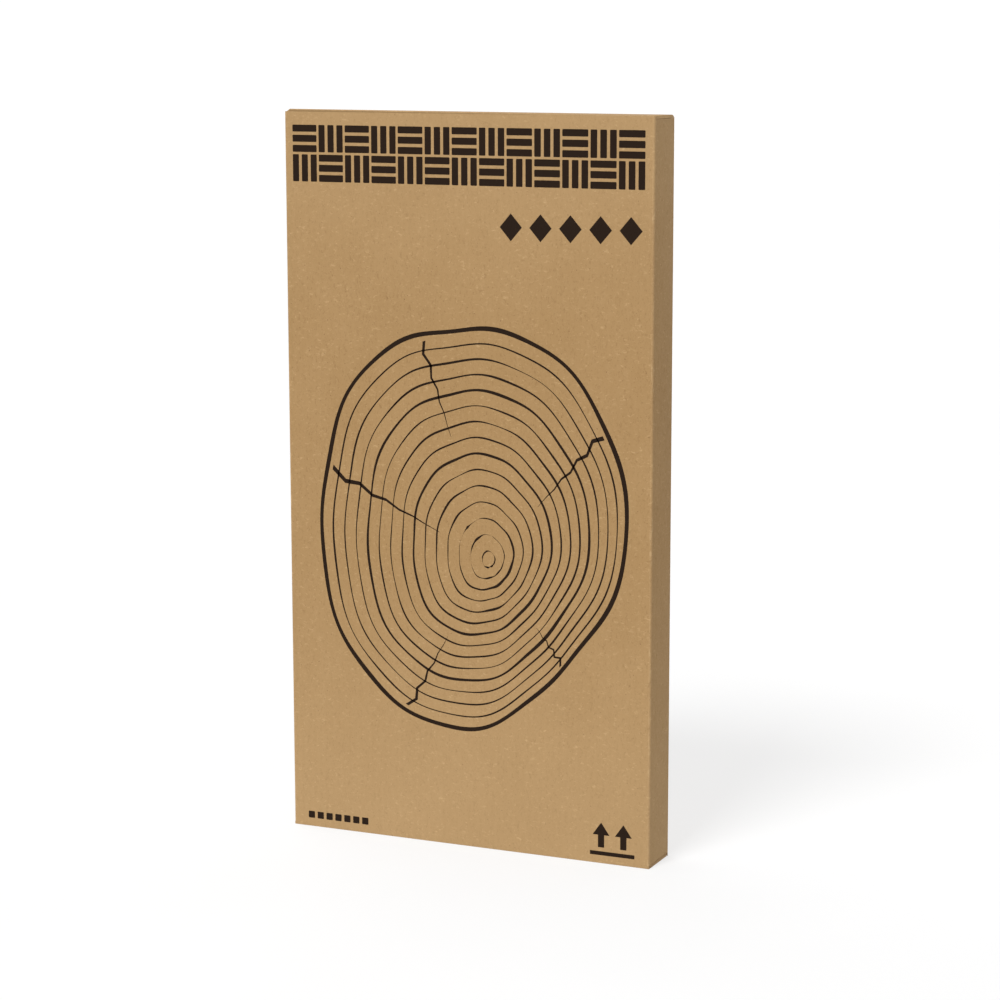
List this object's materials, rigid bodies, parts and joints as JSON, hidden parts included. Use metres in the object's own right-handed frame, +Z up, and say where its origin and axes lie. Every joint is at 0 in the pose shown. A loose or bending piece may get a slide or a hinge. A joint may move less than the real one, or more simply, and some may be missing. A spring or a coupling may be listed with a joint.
{
  "type": "boxed charging station organizer",
  "caption": "Flat kraft carton standing on its short end, with a tuck-in top closure, dust flaps and a bamboo desk organizer with a wireless charging pad inside",
  "frame": {"origin": "middle of the carton's footprint, on the surface that it stands on", "axes": "+Z up along the carton's long side, printed front towards -Y, top closure hinged on the +Y side"},
  "size_m": [0.1416, 0.0188, 0.263],
  "materials": {
    "kraft_board": "unbleached kraft liner on micro-flute board, black ink on the front",
    "bamboo": "sanded laminated bamboo, clear matt oil",
    "mat": "pressed felt",
    "cover_plastic": "fine matt",
    "copper": "enamelled copper wire",
    "ferrite": "dark sintered ferrite",
    "circuit_board": "green solder resist",
    "components": "black epoxy",
    "steel": "plated steel",
    "rubber": "soft matt rubber"
  },
  "bodies": {
    "carton": {"front_panel": "kraft_board", "back_panel": "kraft_board", "left_panel": "kraft_board", "right_panel": "kraft_board", "glue_flap": "kraft_board", "bottom_back_flap": "kraft_board", "bottom_left_flap": "kraft_board", "bottom_right_flap": "kraft_board", "bottom_front_flap": "kraft_board"},
    "closure": {"top_closure": "kraft_board"},
    "tuck": {"tuck_flap": "kraft_board"},
    "dust_left": {"dust_flap_left": "kraft_board"},
    "dust_right": {"dust_flap_right": "kraft_board"},
    "organizer": {"bamboo_body": "bamboo", "tray_mat": "mat", "charger_cover": "cover_plastic", "charging_coil": "copper", "ferrite_shield": "ferrite", "circuit_board": "circuit_board", "board_components": "components", "usb_socket": "steel", "cover_screws": "steel", "rubber_feet": "rubber"}
  },
  "joints": [
    {"name": "closure_hinge", "type": "hinge", "parent": "carton", "child": "closure", "pos_m": [0, 0.00945, 0.262], "axis": [-1, 0, 0], "range_deg": [0, 135]},
    {"name": "tuck_crease", "type": "hinge", "parent": "closure", "child": "tuck", "pos_m": [0, -0.007, 0.262], "axis": [1, 0, 0], "range_deg": [0, 83.7]},
    {"name": "dust_crease_left", "type": "hinge", "parent": "carton", "child": "dust_left", "pos_m": [-0.0698, 0, 0.2619], "axis": [0, -1, 0], "range_deg": [0, 27]},
    {"name": "dust_crease_right", "type": "hinge", "parent": "carton", "child": "dust_right", "pos_m": [0.0698, 0, 0.2619], "axis": [0, 1, 0], "range_deg": [0, 27]},
    {"name": "organizer_shift", "type": "slide", "parent": "carton", "child": "organizer", "axis": [0, 0, 1], "range_m": [0, 0.006]}
  ],
  "couplings": [
    {"joint": "tuck_crease", "follows": "closure_hinge", "ratio": 0.62},
    {"joint": "dust_crease_left", "follows": "closure_hinge", "ratio": 0.2},
    {"joint": "dust_crease_right", "follows": "closure_hinge", "ratio": 0.2}
  ]
}
